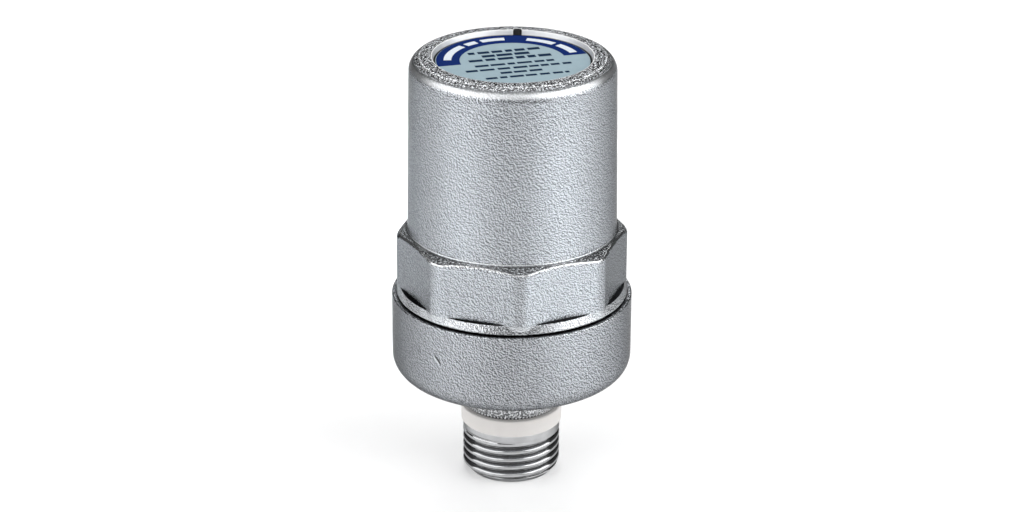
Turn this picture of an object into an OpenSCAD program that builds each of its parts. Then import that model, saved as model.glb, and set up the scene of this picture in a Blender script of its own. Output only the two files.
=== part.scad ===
// Water hammer arrestor: a spring-loaded piston in a screwed chrome-plated brass housing.
// Millimetres. The origin is the centre of the inlet's end face and +Z runs up the axis.

/* [Inlet spigot] */
// Major diameter of the G 1/2 male thread
thread_d = 20.955; // [20.5:0.005:24]
// Threaded length, from the end face to the seal ring
thread_len = 11.6; // [9:0.1:16]
// Radial depth of the chamfer at the thread's tip
thread_tip_inset = 1.48; // [0.5:0.01:1.8]
// Height of the chamfer at the thread's tip
thread_tip_h = 1.7; // [0.5:0.1:3]
// Diameter of the water inlet
inlet_d = 14; // [9:0.5:15]

/* [Thread seal ring] */
// Radial depth of the turned groove that holds the ring
ring_groove_depth = 1.28; // [0.8:0.01:1.6]
// Height of the ring
ring_h = 3.7; // [2:0.1:6]
// Radial thickness of the ring
ring_wall = 1.6; // [1.3:0.1:3]
// Radius on the ring's outer edges
ring_edge_r = 0.3; // [0.2:0.1:0.9]
// Radial room between the ring and its groove
ring_clearance = 0.05; // [0.02:0.01:0.2]

/* [Lower body] */
// Radial step from the ring's groove out to the neck
neck_shoulder = 0.9; // [0.5:0.1:2]
// Length from the ring up to the lowest point of the body's rounded corner
neck_len = 8.8; // [6:0.1:16]
// Radius between the neck and the underside
neck_fillet_r = 2; // [1:0.1:3]
// Wall of the body outside the screwed joint
body_wall = 4.05; // [3.6:0.05:8]
// Radius of the body's lower corner
body_corner_r = 4; // [2:0.1:7]
// Slope of the underside, in degrees
underside_slope = 8; // [0:1:20]
// Radius on the body's upper outer edge
body_rim_r = 0.4; // [0.3:0.1:1]
// Thickness of the floor
floor_t = 4.5; // [3:0.1:9]
// Height of the water chamber between the floor and the cap's skirt
chamber_h = 3.2; // [2:0.1:6]
// Radial step from the screwed joint in to the chamber's wall
chamber_step = 1.5; // [0.5:0.1:2]

/* [Screwed joint] */
// Length of the cap's skirt that screws into the body
skirt_len = 9.8; // [7:0.1:18]
// Radial room between the skirt and the body
joint_clearance = 0.1; // [0.05:0.01:0.2]
// Free length below the skirt
joint_runout = 0.8; // [0.3:0.1:1.5]
// Cord thickness of the O-ring under the collar
joint_seal_d = 1.8; // [1.2:0.1:1.8]
// How far the collar squeezes that O-ring
joint_seal_squeeze = 0.3; // [0.1:0.05:0.5]
// Room left round that O-ring
joint_seal_clearance = 0.05; // [0.02:0.01:0.1]

/* [Cap] */
// Bore of the cylinder that the piston runs in
bore_d = 37; // [32:0.5:48]
// Wall of the skirt round the bore
skirt_wall = 2.9; // [2:0.1:5]
// Height of the round collar under the octagon
collar_h = 2.1; // [1:0.1:4]
// How far the collar widens towards its foot
collar_flare = 0.65; // [0.2:0.05:1.5]
// Chamfer on the collar's lower edge
collar_chamfer = 0.45; // [0.2:0.05:0.8]
// Ledge between a flat of the octagon and the collar's top edge
ledge_w = 0.96; // [0.3:0.02:1.3]
// Wall from the bore to a flat of the octagon
octagon_wall = 4.5; // [4.2:0.1:8]
// Height of a flat, along its middle
octagon_h = 12.1; // [8:0.1:20]
// Radius on the octagon's corners
octagon_corner_r = 4; // [1:0.1:8]
// How far the turned corners stand outside the flats
octagon_corner_rise = 1.45; // [0.8:0.05:1.8]
// Slope of the turned shoulder above the octagon, in degrees
shoulder_slope = 27; // [15:1:40]
// Wall of the barrel above the octagon, at its foot
barrel_wall = 3.65; // [3:0.05:6]
// How far the barrel narrows, in radius, from its foot to its top
barrel_draft = 0.55; // [0:0.01:1]
// Height from the octagon's flats to the rim
barrel_h = 38.3; // [30:0.1:60]
// Radius on the barrel's top edge
barrel_edge_r = 3.1; // [1:0.1:4]
// Width of the rim, from the foot of the label's recess to the rounded edge
rim_w = 2.1; // [1:0.01:5]
// Depth of the label's recess
recess_depth = 1.3; // [0.8:0.1:3]
// How far the recess widens from its floor to the rim
recess_flare = 0.3; // [0:0.05:0.6]
// Diameter of the lifting notch in the recess's wall
notch_d = 1.8; // [1:0.1:3]
// Direction of that notch, in degrees from +X
notch_angle = 105; // [0:1:359]
// Thickness of the crown under the recess
crown_t = 3.3; // [2:0.1:8]
// Radius in the corner between the bore and the ceiling
ceiling_fillet_r = 2; // [0.5:0.1:3]
// Height of the boss that centres the spring
boss_h = 5; // [2:0.1:8]
// Radial width of the lead-in at the bore's mouth
lead_in_w = 0.9; // [0.3:0.1:1.5]
// Height of that lead-in
lead_in_h = 2; // [1:0.1:3]

/* [Piston] */
// Length of the piston
piston_len = 24; // [22:0.5:30]
// Radial room between the piston and the bore
piston_clearance = 0.15; // [0.05:0.01:0.3]
// Room between the resting piston and the floor
piston_rest_gap = 0.2; // [0.1:0.05:1]
// Chamfer on the piston's outer edges
piston_chamfer = 0.8; // [0.3:0.1:1.5]
// Thickness from the piston's face to the spring's seat
piston_floor = 6; // [4:0.1:9]
// Diameter of the shallow recess in the piston's face
face_recess_d = 24; // [16:0.5:28]
// Depth of that recess
face_recess_depth = 1.5; // [0.5:0.1:2]
// Number of slots that let water out of the recess
face_slots = 4; // [2:1:8]
// Width of a slot
face_slot_w = 4; // [2:0.5:6]
// Wall between the seal grooves and the spring's pocket
pocket_wall = 2.25; // [1.5:0.05:4]

/* [Piston seals] */
// Cord thickness of a piston O-ring
seal_d = 3.5; // [2.5:0.1:4]
// How far the bore squeezes an O-ring
seal_squeeze = 0.5; // [0.3:0.05:0.8]
// Radial room between an O-ring and the surfaces that it seals
seal_clearance = 0.1; // [0.05:0.01:0.15]
// Room in a groove above and below the cord
groove_play = 0.45; // [0.2:0.05:0.8]
// Height of the lower O-ring above the piston's face
lower_seal_h = 8; // [7.5:0.1:9]
// Distance between the two O-rings
seal_spacing = 8.5; // [6:0.1:10]

/* [Spring] */
// Wire diameter
wire_d = 4; // [3:0.1:4.4]
// Number of turns, with the two closed end turns
spring_turns = 9; // [6:1:10]
// Room between the closed end turns
closed_turn_gap = 0.15; // [0.1:0.05:0.5]
// Radial room between the spring and its pocket
pocket_gap = 0.5; // [0.2:0.05:1]
// Radial room between the spring and the boss
boss_gap = 0.4; // [0.2:0.05:1]

/* [Label] */
// Thickness of the label
label_t = 0.3; // [0.1:0.05:0.6]
// Radial room between the label and its recess
label_gap = 0.4; // [0.1:0.05:1]

/* [Hidden] */

$fn = 96;
octagon_sides = 8;
half_side_angle = 180 / octagon_sides;
arc_steps = 8;
spring_steps = 20;
wire_sides = 8;
// How far a cutting shape runs past the face that it cuts
overrun = 1;

// Radii of the spigot
thread_r = thread_d / 2;
inlet_r = inlet_d / 2;
ring_groove_r = thread_r - ring_groove_depth;
neck_r = ring_groove_r + neck_shoulder;

// Radii of the housing, from the bore outwards
bore_r = bore_d / 2;
skirt_r = bore_r + skirt_wall;
joint_r = skirt_r + joint_clearance;
joint_seat_r = joint_r + joint_seal_d;
body_r = joint_r + body_wall;
chamber_r = joint_r - chamber_step;
octagon_r = bore_r + octagon_wall;
ledge_r = octagon_r + ledge_w;
collar_r = ledge_r + collar_flare;
octagon_corner_limit_r = octagon_r + octagon_corner_rise;
barrel_foot_r = bore_r + barrel_wall;
barrel_top_r = barrel_foot_r - barrel_draft;
recess_r = barrel_top_r - barrel_edge_r - rim_w;

// Radii of the piston and the spring, from the bore inwards
piston_r = bore_r - piston_clearance;
groove_r = bore_r - seal_d + seal_squeeze;
pocket_r = groove_r - pocket_wall;
spring_r = pocket_r - pocket_gap;
coil_r = spring_r - wire_d / 2;
boss_r = spring_r - wire_d - boss_gap;

// Heights, from the end of the thread upwards
ring_z = thread_len;
ring_top_z = ring_z + ring_h;
body_z = ring_top_z + neck_len;
floor_z = body_z + floor_t;
skirt_z = floor_z + chamber_h;
joint_end_z = skirt_z - joint_runout;
rim_z = skirt_z + skirt_len;
joint_seat_z = rim_z - joint_seal_d + joint_seal_squeeze;
ledge_z = rim_z + collar_h;
octagon_z = ledge_z + octagon_h;
top_z = octagon_z + barrel_h;
recess_z = top_z - recess_depth;
ceiling_z = recess_z - crown_t;
piston_z = floor_z + piston_rest_gap;
piston_top_z = piston_z + piston_len;
spring_z = piston_z + piston_floor;
lower_seal_z = piston_z + lower_seal_h;
upper_seal_z = lower_seal_z + seal_spacing;
groove_half_h = seal_d / 2 + groove_play;

// Points on an arc about a centre, from one angle to another
function arc(centre, r, from, to, steps = arc_steps) = [
  for (i = [0 : steps])
    let (a = from + (to - from) * i / steps)
    centre + r * [cos(a), sin(a)]
];

// Height on the turned shoulder above the octagon, at a radius
function shoulder_z(r) = octagon_z - (r - octagon_r) * tan(shoulder_slope);

// Height on the lower body's underside, at a radius
function underside_z(r) =
  let (corner_end = underside_corner() + body_corner_r * [sin(underside_slope), -cos(underside_slope)])
  corner_end.y - (corner_end.x - r) * tan(underside_slope);

// Centre of the lower body's rounded corner, as radius and height
function underside_corner() = [body_r - body_corner_r, body_z + body_corner_r];

// Centre of the fillet under the lower body, as radius and height
function neck_fillet_centre() =
  let (r = neck_r + neck_fillet_r)
  [r, underside_z(r) - neck_fillet_r / cos(underside_slope)];

// Height of the wire's centre after a number of turns, from the lower seat to the upper one
function wire_z(turns) =
  let (closed_pitch = wire_d + closed_turn_gap)
  let (open_turns = spring_turns - 2)
  let (open_pitch = (ceiling_z - spring_z - 2 * closed_pitch) / open_turns)
  turns < 1 ? spring_z + closed_pitch * turns
  : turns > spring_turns - 1 ? ceiling_z - closed_pitch * (spring_turns - turns)
  : spring_z + closed_pitch + open_pitch * (turns - 1);

// One corner point of the wire, held between the two ground seats
function wire_point(turns, side) =
  let (a = 360 * side / wire_sides)
  let (r = coil_r + wire_d / 2 * cos(a))
  let (z = wire_z(turns) + wire_d / 2 * sin(a))
  [r * cos(360 * turns), r * sin(360 * turns), max(spring_z, min(ceiling_z, z))];

// Outline of the octagon with its corners rounded and a flat facing each axis
function octagon_outline() =
  let (centre_r = (octagon_r - octagon_corner_r) / cos(half_side_angle))
  [
    for (i = [0 : octagon_sides - 1])
      let (a = half_side_angle * (2 * i + 1))
      each arc(
        centre_r * [cos(a), sin(a)], octagon_corner_r, a - half_side_angle, a + half_side_angle
      )
  ];

// Section of an O-ring, flattened to a width or a height by what squeezes it
module seal_section(d, w, h) {
  intersection() {
    circle(d = d);
    square([w, h], center = true);
  }
}

// Cup, neck and threaded spigot, turned from one forging
module lower_body() {
  fillet = neck_fillet_centre();
  color("silver")
    rotate_extrude()
      polygon(concat(
        [
          [inlet_r, 0],
          [thread_r - thread_tip_inset, 0],
          [thread_r, thread_tip_h],
          [thread_r, ring_z],
          [ring_groove_r, ring_z],
          [ring_groove_r, ring_top_z],
          [neck_r, ring_top_z]
        ],
        arc(fillet, neck_fillet_r, 180, 90 + underside_slope),
        arc(underside_corner(), body_corner_r, underside_slope - 90, 0),
        arc([body_r - body_rim_r, rim_z - body_rim_r], body_rim_r, 0, 90),
        [
          [joint_seat_r, rim_z],
          [joint_seat_r, joint_seat_z],
          [joint_r, joint_seat_z],
          [joint_r, joint_end_z],
          [chamber_r, joint_end_z],
          [chamber_r, floor_z],
          [inlet_r, floor_z]
        ]
      ));
}

// Outside of the cap without its octagon
module cap_outside() {
  rotate_extrude()
    polygon(concat(
      [
        [0, skirt_z],
        [skirt_r, skirt_z],
        [skirt_r, rim_z],
        [collar_r - collar_chamfer, rim_z],
        [collar_r, rim_z + collar_chamfer],
        [ledge_r, ledge_z],
        [barrel_foot_r, ledge_z],
        [barrel_foot_r, shoulder_z(barrel_foot_r)]
      ],
      arc([barrel_top_r - barrel_edge_r, top_z - barrel_edge_r], barrel_edge_r, 0, 90),
      [[0, top_z]]
    ));
}

// Wrench octagon, with its corners and its shoulder turned round
module cap_octagon() {
  foot_z = rim_z + collar_chamfer;
  intersection() {
    translate([0, 0, foot_z])
      linear_extrude(shoulder_z(0) - foot_z)
        polygon(octagon_outline());
    rotate_extrude()
      polygon([
        [0, foot_z - overrun],
        [octagon_corner_limit_r, foot_z - overrun],
        [octagon_corner_limit_r, shoulder_z(octagon_corner_limit_r)],
        [barrel_top_r, shoulder_z(barrel_top_r)],
        [0, shoulder_z(barrel_top_r)]
      ]);
  }
}

// Space inside the cap, round the boss that centres the spring
module cap_bore() {
  rotate_extrude()
    polygon(concat(
      [
        [0, skirt_z - overrun],
        [bore_r + lead_in_w, skirt_z - overrun],
        [bore_r + lead_in_w, skirt_z],
        [bore_r, skirt_z + lead_in_h]
      ],
      arc([bore_r - ceiling_fillet_r, ceiling_z - ceiling_fillet_r], ceiling_fillet_r, 0, 90),
      [
        [boss_r, ceiling_z],
        [boss_r, ceiling_z - boss_h],
        [0, ceiling_z - boss_h]
      ]
    ));
}

// Recess for the label, with a notch to lift the label out
module cap_recess() {
  cut_h = recess_depth + overrun;
  translate([0, 0, recess_z])
    cylinder(r1 = recess_r, r2 = recess_r + recess_flare * cut_h / recess_depth, h = cut_h);
  rotate(notch_angle)
    translate([recess_r, 0, recess_z])
      cylinder(d = notch_d, h = cut_h);
}

// Cylinder, wrench octagon, collar and skirt, forged as one bell
module cap() {
  color("silver")
    difference() {
      union() {
        cap_outside();
        cap_octagon();
      }
      cap_bore();
      cap_recess();
    }
}

// O-ring clamped between the collar and the lower body
module body_seal() {
  w = joint_seat_r - skirt_r - 2 * joint_seal_clearance;
  h = rim_z - joint_seat_z - 2 * joint_seal_clearance;
  color("dimgray")
    translate([0, 0, (rim_z + joint_seat_z) / 2])
      rotate_extrude()
        translate([(joint_seat_r + skirt_r) / 2, 0])
          seal_section(joint_seal_d, w, h);
}

// White ring in the groove above the thread
module thread_seal_ring() {
  inner_r = ring_groove_r + ring_clearance;
  outer_r = inner_r + ring_wall;
  edge = outer_r - ring_edge_r;
  color("ivory")
    rotate_extrude()
      polygon(concat(
        [[inner_r, ring_z]],
        arc([edge, ring_z + ring_edge_r], ring_edge_r, -90, 0),
        arc([edge, ring_top_z - ring_edge_r], ring_edge_r, 0, 90),
        [[inner_r, ring_top_z]]
      ));
}

// Outline of one seal groove in the piston, from its lower edge to its upper one
function seal_groove(z) = [
  [piston_r, z - groove_half_h],
  [groove_r, z - groove_half_h],
  [groove_r, z + groove_half_h],
  [piston_r, z + groove_half_h]
];

// Moulded piston with two seal grooves and a pocket for the spring
module piston() {
  color("whitesmoke")
    difference() {
      rotate_extrude()
        polygon(concat(
          [
            [0, piston_z + face_recess_depth],
            [face_recess_d / 2, piston_z + face_recess_depth],
            [face_recess_d / 2, piston_z],
            [piston_r - piston_chamfer, piston_z],
            [piston_r, piston_z + piston_chamfer]
          ],
          seal_groove(lower_seal_z),
          seal_groove(upper_seal_z),
          [
            [piston_r, piston_top_z - piston_chamfer],
            [piston_r - piston_chamfer, piston_top_z],
            [pocket_r + piston_chamfer, piston_top_z],
            [pocket_r, piston_top_z - piston_chamfer],
            [pocket_r, spring_z],
            [0, spring_z]
          ]
        ));
      for (i = [0 : face_slots - 1])
        rotate(360 * i / face_slots)
          translate([0, -face_slot_w / 2, piston_z - overrun])
            cube([bore_r, face_slot_w, face_recess_depth + overrun]);
    }
}

// One O-ring of the piston, at a height
module piston_seal(z) {
  w = bore_r - groove_r - 2 * seal_clearance;
  color("dimgray")
    translate([0, 0, z])
      rotate_extrude()
        translate([(bore_r + groove_r) / 2, 0])
          seal_section(seal_d, w, seal_d);
}

module piston_seal_lower() {
  piston_seal(lower_seal_z);
}

module piston_seal_upper() {
  piston_seal(upper_seal_z);
}

// Compression spring with closed and ground ends
module spring() {
  rings = spring_turns * spring_steps;
  points = [
    for (i = [0 : rings])
      for (side = [0 : wire_sides - 1])
        wire_point(i / spring_steps, side)
  ];
  function at(i, side) = i * wire_sides + side % wire_sides;
  sides = [
    for (i = [0 : rings - 1])
      for (side = [0 : wire_sides - 1])
        each [
          [at(i, side), at(i, side + 1), at(i + 1, side + 1)],
          [at(i, side), at(i + 1, side + 1), at(i + 1, side)]
        ]
  ];
  // Each end is a fan from the one point that grinding leaves off the seat's plane
  top = wire_sides / 4;
  bottom = 3 * wire_sides / 4;
  first_end = [
    for (k = [1 : wire_sides - 2]) [at(0, top), at(0, top + k + 1), at(0, top + k)]
  ];
  last_end = [
    for (k = [1 : wire_sides - 2]) [at(rings, bottom), at(rings, bottom + k), at(rings, bottom + k + 1)]
  ];
  color("darkgray")
    polyhedron(points, concat(sides, first_end, last_end));
}

// Round label in the cap's recess
module label() {
  color("lightsteelblue")
    translate([0, 0, recess_z])
      cylinder(r = recess_r - label_gap, h = label_t);
}

lower_body();
cap();
body_seal();
thread_seal_ring();
piston();
piston_seal_lower();
piston_seal_upper();
spring();
label();
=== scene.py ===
"""Looks of the water hammer arrestor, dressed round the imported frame.

Shapes are worked out in millimetres and stored in metres, in the frame's own axes.
"""

import math

import bpy
import numpy as np
from mathutils import Matrix, Vector


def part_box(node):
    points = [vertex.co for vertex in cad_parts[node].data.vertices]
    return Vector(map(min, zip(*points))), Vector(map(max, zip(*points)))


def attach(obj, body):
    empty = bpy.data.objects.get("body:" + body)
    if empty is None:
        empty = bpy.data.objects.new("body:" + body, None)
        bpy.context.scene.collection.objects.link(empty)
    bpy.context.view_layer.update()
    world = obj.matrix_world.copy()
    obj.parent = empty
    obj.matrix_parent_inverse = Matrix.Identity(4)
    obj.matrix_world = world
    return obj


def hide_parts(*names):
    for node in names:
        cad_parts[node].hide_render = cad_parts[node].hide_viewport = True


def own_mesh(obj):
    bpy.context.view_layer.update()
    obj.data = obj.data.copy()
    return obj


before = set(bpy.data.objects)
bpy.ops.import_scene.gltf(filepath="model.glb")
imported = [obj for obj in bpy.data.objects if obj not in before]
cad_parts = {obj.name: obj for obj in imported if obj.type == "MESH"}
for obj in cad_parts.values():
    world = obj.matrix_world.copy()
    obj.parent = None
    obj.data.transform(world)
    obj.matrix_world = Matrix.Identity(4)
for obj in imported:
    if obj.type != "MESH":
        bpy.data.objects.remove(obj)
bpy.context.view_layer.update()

MM = 0.001
TURN = 2 * math.pi


# Sizes in millimetres


def heights(node):
    """Lowest and highest point of a CAD node, in millimetres."""
    low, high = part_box(node)
    return low.z / MM, high.z / MM


SKIRT_Z, TOP_Z = heights("cap")
RIM_Z = heights("lower_body")[1]
RING_Z, RING_TOP_Z = heights("thread_seal_ring")
LABEL_Z, LABEL_TOP_Z = heights("label")
SPRING_Z, SPRING_TOP_Z = heights("spring")
CEILING_Z = SPRING_TOP_Z

# Spigot with a G 1/2 thread, whose crests and roots are rounded over the depths given here
THREAD_R = 10.4775
THREAD_PITCH = 1.814
THREAD_SLOPE = 1 / math.tan(math.radians(27.5))
THREAD_CREST = 0.62
THREAD_ROOT = 0.12
THREAD_DEPTH = 0.98
THREAD_ROOT_Z = 1.64
THREAD_END_Z = 9.3
THREAD_RUNOUT = 1.0
THREAD_FROM_Z = 0.24
THREAD_ROW = 0.1
THREAD_BLEND = 0.06
TIP_R = 8.9975
TIP_H = 1.7
TIP_EDGE_H = 0.15
INLET_R = 7.0
INLET_CHAMFER = 0.6
RING_GROOVE_R = 9.1975
NECK_R = 10.0975
NECK_NOTCHES = 80
NECK_NOTCH_DEPTH = 0.42
NECK_NOTCH_H = 0.8
NECK_NOTCH_SHARPNESS = 1.6
NECK_NEAR_R = 0.15
NECK_NEAR_Z = 0.01

# Seal ring
RING_INNER_R = 9.2475
RING_OUTER_R = 10.8475
RING_EDGE_R = 0.3
RING_INNER_EDGE_R = 0.08

# Lower body
BODY_R = 25.55
BODY_Z = 24.1
BODY_CORNER_R = 4.0
BODY_RIM_R = 0.4
NECK_FILLET_R = 2.0
UNDERSIDE_SLOPE = math.tan(math.radians(8))
UNDERSIDE_Z = BODY_Z + (NECK_R - (BODY_R - BODY_CORNER_R)) * UNDERSIDE_SLOPE
FLOOR_Z = 28.6
CHAMBER_R = 20.0
JOINT_R = 21.5
JOINT_END_Z = 31.0
JOINT_SEAT_R = 23.3
JOINT_SEAT_Z = RIM_Z - 1.5
MACHINED_R = 0.12
CHAMBER_FILLET_R = 0.4
SOCKET_RIM_W = 0.9
SOCKET_LOW_Z = 30
PLAIN_WALL_Z = RIM_Z - 3
FORGED_MARGIN = 0.2

# Cap
SKIRT_R = 21.4
BORE_R = 18.5
LEAD_IN_W = 0.9
LEAD_IN_H = 2.0
COLLAR_R = 24.61
COLLAR_CHAMFER = 0.45
COLLAR_EDGE = 0.12
COLLAR_FILLET = 0.25
LEDGE_R = 23.96
LEDGE_Z = 43.7
LEDGE_FALL = 9
LEDGE_EDGE = 0.2
OCTAGON_R = 23.0
OCTAGON_CORNER_R = 4.0
OCTAGON_LIMIT_R = 24.45
OCTAGON_LIMIT_EDGE = 0.15
OCTAGON_TOP_Z = 55.8
OCTAGON_EDGE = 1.4
SHOULDER_RUN = 1 / math.tan(math.radians(27))
BARREL_FOOT_R = 22.15
BARREL_FOOT_Z = OCTAGON_TOP_Z + (OCTAGON_R - BARREL_FOOT_R) / SHOULDER_RUN
FOOT_FILLET = 0.4
BARREL_TOP_R = 21.6
BARREL_EDGE_R = 3.1
RECESS_R = 16.4
RECESS_FLARE = 0.3
RECESS_LIP_R = 0.22
RECESS_Z = LABEL_Z
RECESS_CORNER_R = 0.15
RECESS_INNER_W = 0.3
RECESS_RIM_W = 0.2
NOTCH_R = 0.9
NOTCH_ANGLE = math.radians(105)
NOTCH_HALF = math.asin(NOTCH_R / RECESS_R)
NOTCH_FADE = 1.2
NOTCH_SHADE_W = 0.05
BOSS_R = 8.35
BOSS_H = 5.0
CEILING_FILLET_R = 2.0

# Spring
WIRE_R = 2.0
COIL_R = 10.75
SPRING_TURNS = 9
CLOSED_PITCH = 4.15

# Label
LABEL_R = 16.0
LABEL_EDGE_R = 0.08
LABEL_UNDER_R = 0.03
PRINT_T = 0.03
UNDER_LABEL_H = 0.16

# Columns round the axis, and the radius inside which flat ends close on a centre point
COLUMNS_PER_NOTCH = 4
CAP_COLUMNS = 400
RECESS_NOTCH_COLUMNS = 21
RECESS_NOTCH_SPAN = 1.06
COLUMN_SHIFT = 1e-4
RING_COLUMNS = 256
LABEL_COLUMNS = 192
CAP_CENTRE_R = 2.0
LABEL_CENTRE_R = 1.0

# Unevenness of forged and moulded skins: depth, shortest and longest wave, and what starts the draws
FORGED = (0.012, 3.0, 9.0)
MOULDED = (0.012, 4.0, 12.0)
BODY_SEED = 11
CAP_SEED = 7
RING_SEED = 5

# Where wear, painted shade and painted highlights lie: both ends of a stretch,
# or the middle, half width and soft side of a band
RAISED_EDGE = (0.12, 0.27)
SUNK_CORNER = (-0.03, -0.15)
JOINT_SHADE = 0.4
LOW_SKIN_Z = LEDGE_Z + 1
LEDGE_SHADE_DEPTH = (0.12, 0.27)
LEDGE_SHADE_HALF_H = 0.14
LEDGE_SHADE_MARGIN_IN = 0.05
LEDGE_SHADE_MARGIN_OUT = 0.06
FOOT_LINE = (0.26, 0.072, 0.12)
FOOT_SHADE = (-0.06, 0.06, 0.10)
TOP_EDGE = (-0.1, 0.2, 0.4)
TOP_EDGE_END_Z = BARREL_FOOT_Z - 0.2
SHOULDER_Z = (OCTAGON_TOP_Z - 2.4, OCTAGON_TOP_Z + 0.6)
FACING_UP = (0.6, 0.8)
RIM_LINE = (19.46, 0, 0.4)
RIM_SPECKLE_R = (BARREL_TOP_R - 0.95, BARREL_TOP_R - 1.45)
RIM_SPECKLE_H = 1.4
EDGE_WEAR_AND_HIGHLIGHT_R = (BARREL_TOP_R - 1.3, BARREL_TOP_R - 0.7)
EDGE_WEAR_AND_HIGHLIGHT_Z = (TOP_Z - 0.75 * BARREL_EDGE_R, TOP_Z - 0.75 * BARREL_EDGE_R + 0.8)
NECK_SPECKLE_Z = (UNDERSIDE_Z + 0.6, UNDERSIDE_Z - 0.6)

# How strong wear, painted shade and painted highlights are, as shares
THREAD_SHADE_RISE = 1.1
THREAD_SHADE_MOST = 0.6
NECK_SPECKLE = 0.85
NECK_HIGHLIGHT = 0.6
COLLAR_HIGHLIGHT = 0.45
FOOT_HIGHLIGHT_SHARE = 0.8
FOOT_SHADE_SHARE = 0.75
SHOULDER_SPECKLE = 0.8
RIM_HIGHLIGHT_SHARE = 0.6


# Mesh helpers


def smooth_min(a, b, k):
    """Lesser of two values, with the corner between them rounded over a width k."""
    h = np.clip(1 - np.abs(a - b) / k, 0, None)
    return np.minimum(a, b) - h * h * k / 4


def smooth_max(a, b, k):
    """Greater of two values, with the corner between them rounded over a width k."""
    return -smooth_min(-a, -b, k)


def fade(value, start, end):
    """0 up to a start and 1 from an end on, which may also be the lesser of the two."""
    return np.clip((value - start) / (end - start), 0, 1)


def band(value, middle, half, soft):
    """1 within half a width of a middle, falling to 0 over a soft side beyond it."""
    return np.clip((half + soft - np.abs(value - middle)) / soft, 0, 1)


def rounded(corners, steps=5, longest=3.0, closed=False):
    """Profile (r, z) through corners (r, z, fillet), with rows close to each fillet's ends.

    A fillet takes up nearly all of a side at most, or half of it where the next corner has one too.
    """
    whole_side, half_side = 0.96, 0.48
    row_gap, long_side = 0.6, 4
    points = [np.array(c[:2], float) for c in corners]
    fillets = [c[2] for c in corners]
    count = len(points)
    line = []
    for i in range(count):
        inside = closed or 0 < i < count - 1
        if not inside or fillets[i] <= 0:
            line.append(points[i])
            continue
        here = points[i]
        back, ahead = points[i - 1] - here, points[(i + 1) % count] - here
        back_len, ahead_len = np.linalg.norm(back), np.linalg.norm(ahead)
        back, ahead = back / back_len, ahead / ahead_len
        half = math.acos(max(-1, min(1, float(back @ ahead)))) / 2
        back_share = half_side if fillets[i - 1] > 0 else whole_side
        ahead_share = half_side if fillets[(i + 1) % count] > 0 else whole_side
        reach = min(fillets[i] / math.tan(half), back_share * back_len, ahead_share * ahead_len)
        radius = reach * math.tan(half)
        middle = back + ahead
        centre = here + middle / np.linalg.norm(middle) * radius / math.sin(half)
        start, end = here + back * reach, here + ahead * reach
        margin = row_gap * reach
        if back_len > long_side * reach:
            line.append(start + back * margin)
        a0 = math.atan2(*(start - centre)[::-1])
        a1 = math.atan2(*(end - centre)[::-1])
        sweep = (a1 - a0 + math.pi) % TURN - math.pi
        for s in range(steps + 1):
            a = a0 + sweep * s / steps
            line.append(centre + radius * np.array([math.cos(a), math.sin(a)]))
        if ahead_len > long_side * reach:
            line.append(end + ahead * margin)
    dense = [line[0]]
    for p in line[1:] + (line[:1] if closed else []):
        gap = np.linalg.norm(p - dense[-1])
        if gap < 1e-6:
            continue
        parts = max(1, math.ceil(gap / longest))
        dense.extend(dense[-1] + (p - dense[-1]) * (k + 1) / parts for k in range(parts))
    if closed:
        dense.pop()
    return np.array(dense)


def ripple(points, seed, depth, shortest, longest):
    """Gentle unevenness of a forged skin: a sum of waves in random directions."""
    random = np.random.default_rng(seed)
    total = np.zeros(points.shape[:-1])
    waves = 28
    for _ in range(waves):
        direction = random.normal(size=3)
        direction /= np.linalg.norm(direction)
        length = random.uniform(shortest, longest)
        total += np.sin(points @ direction * TURN / length + random.uniform(0, TURN))
    return depth * total / math.sqrt(waves)


def grid_normals(grid, closed_rows):
    """Unit normals of a grid of points whose columns run all the way round."""
    across = np.roll(grid, -1, axis=1) - np.roll(grid, 1, axis=1)
    if closed_rows:
        along = np.roll(grid, -1, axis=0) - np.roll(grid, 1, axis=0)
    else:
        along = np.gradient(grid, axis=0)
    normals = np.cross(across, along)
    return normals / np.maximum(np.linalg.norm(normals, axis=-1, keepdims=True), 1e-9)


def convexity(grid, normals, closed_rows, passes=24):
    """How far each point stands out of its smoothed surroundings, in millimetres."""
    smooth = grid.copy()
    for _ in range(passes):
        if closed_rows:
            above, below = np.roll(smooth, -1, axis=0), np.roll(smooth, 1, axis=0)
        else:
            above = np.concatenate([smooth[1:], smooth[-1:]])
            below = np.concatenate([smooth[:1], smooth[:-1]])
        smooth = (smooth + np.roll(smooth, 1, 1) + np.roll(smooth, -1, 1) + above + below) / 5
    return np.einsum("ijk,ijk->ij", grid - smooth, normals)


def signed_volume(vertices, faces):
    """Six times the volume inside some faces, less than zero where they are turned inwards."""
    total = 0.0
    for size in {len(f) for f in faces}:
        corners = vertices[np.array([f for f in faces if len(f) == size])]
        for j in range(1, size - 1):
            total += np.einsum("ij,ij->", corners[:, 0], np.cross(corners[:, j], corners[:, j + 1]))
    return total


def add_to_scene(thing):
    bpy.context.scene.collection.objects.link(thing)


def make_piece(name, vertices, faces, materials, face_materials=None, point_values=None, flat=False):
    """Mesh object from points in millimetres, with its faces turned outwards."""
    vertices = np.asarray(vertices, float)
    if signed_volume(vertices, faces) < 0:
        faces = [tuple(reversed(f)) for f in faces]
    mesh = bpy.data.meshes.new(name)
    mesh.from_pydata((vertices * MM).tolist(), [], faces)
    for material in materials:
        mesh.materials.append(material)
    if face_materials is not None:
        mesh.polygons.foreach_set("material_index", np.asarray(face_materials, np.int32))
    mesh.polygons.foreach_set("use_smooth", np.full(len(faces), not flat))
    for key, values in (point_values or {}).items():
        attribute = mesh.attributes.new(key, "FLOAT", "POINT")
        attribute.data.foreach_set("value", np.asarray(values, np.float32).ravel())
    mesh.update()
    piece = bpy.data.objects.new(name, mesh)
    add_to_scene(piece)
    return piece


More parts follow.
